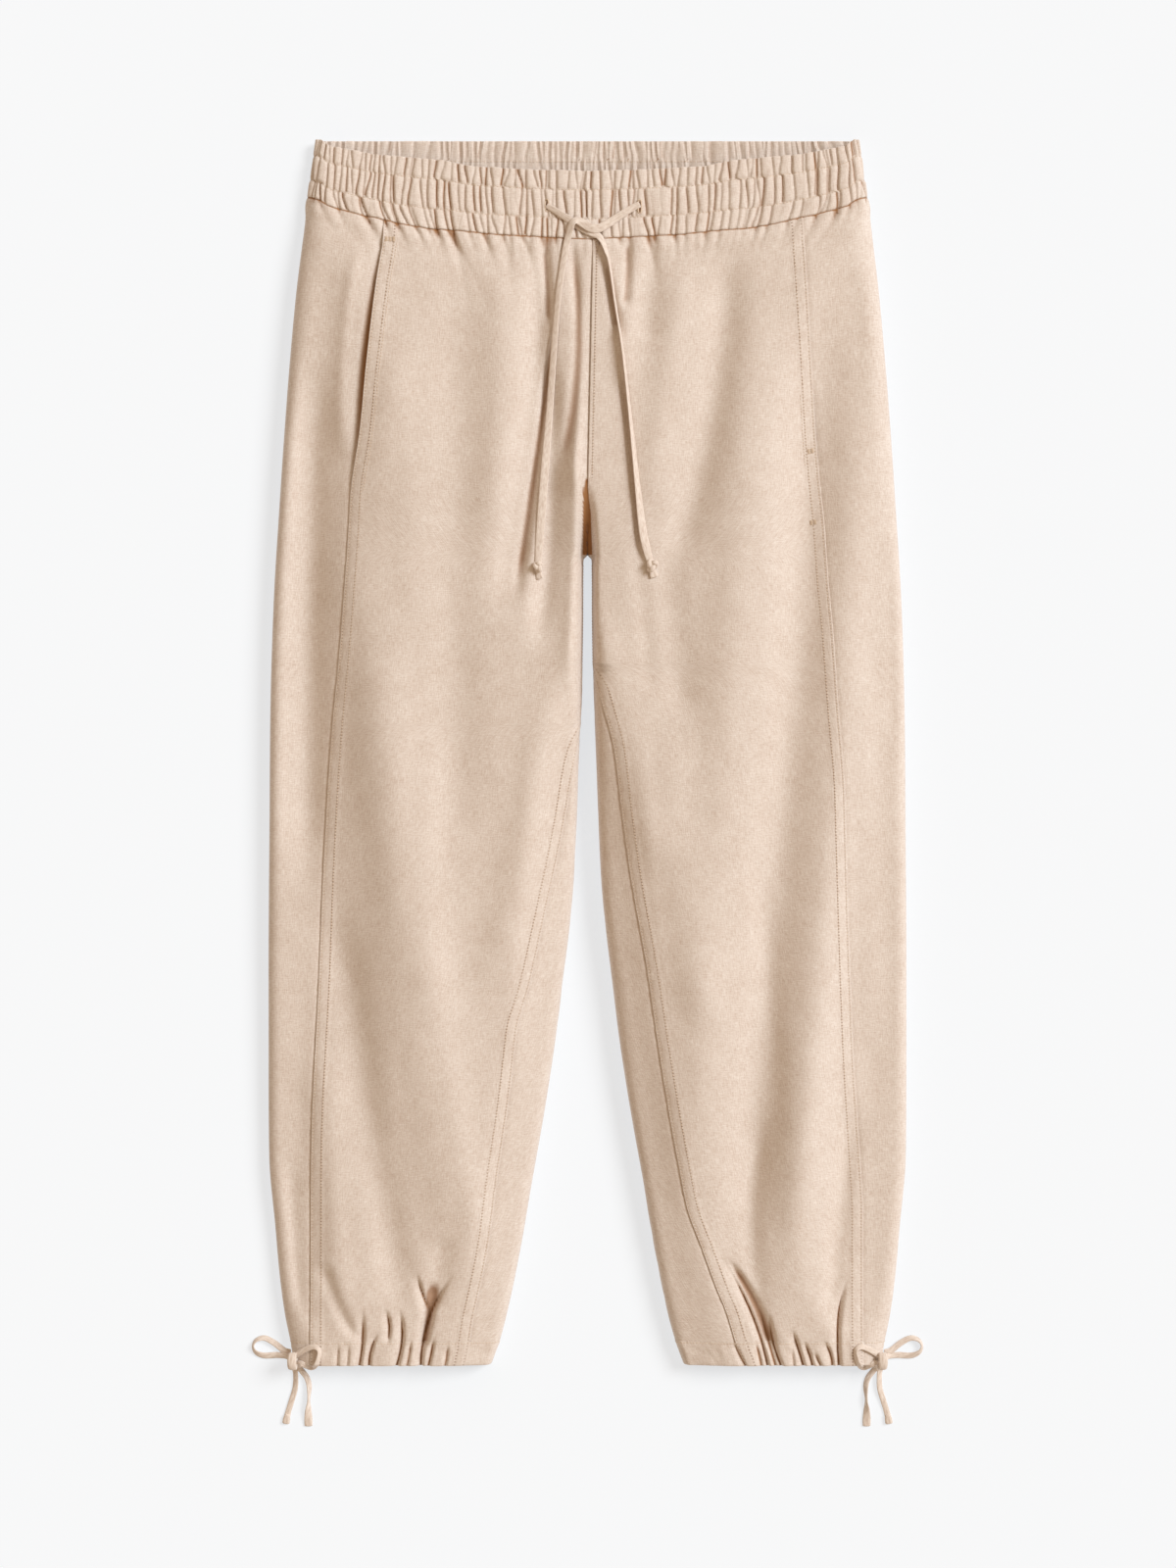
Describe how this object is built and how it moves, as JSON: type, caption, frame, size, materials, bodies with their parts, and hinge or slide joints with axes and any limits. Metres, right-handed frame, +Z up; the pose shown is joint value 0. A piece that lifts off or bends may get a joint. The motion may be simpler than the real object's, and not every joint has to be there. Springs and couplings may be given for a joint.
{
  "type": "linen drawstring trousers",
  "caption": "Ankle-length pull-on trousers in plain-weave linen, with a gathered drawstring waistband, forward side seams with pocket mouths and drawstring hems tied in bows, laid flat.",
  "frame": {"origin": "middle of the garment's outline, on the surface that it lies on", "axes": "+Z up out of the front of the laid garment, +Y towards the waist, +X towards the wearer's left"},
  "size_m": [0.5588, 1.0781, 0.0479],
  "materials": {
    "linen": "washed plain-weave linen, matt, warm beige",
    "cord": "flat woven linen cord, matt"
  },
  "bodies": {
    "root": {"waistband": "linen", "front_panel_right": "linen", "front_panel_left": "linen", "back_panel_right": "linen", "back_panel_left": "linen", "hem_casing_right": "linen", "hem_casing_left": "linen", "drawstring_knot": "cord", "drawstring_run_right": "cord", "drawstring_tail_right": "cord", "drawstring_end_right": "cord", "bow_knot_right": "cord", "bow_end_right": "cord", "bow_loop_outer_right": "cord", "bow_loop_inner_right": "cord", "bow_tail_outer_right": "cord", "bow_tail_inner_right": "cord", "drawstring_run_left": "cord", "drawstring_tail_left": "cord", "drawstring_end_left": "cord", "bow_knot_left": "cord", "bow_end_left": "cord", "bow_loop_outer_left": "cord", "bow_loop_inner_left": "cord", "bow_tail_outer_left": "cord", "bow_tail_inner_left": "cord"}
  },
  "joints": []
}
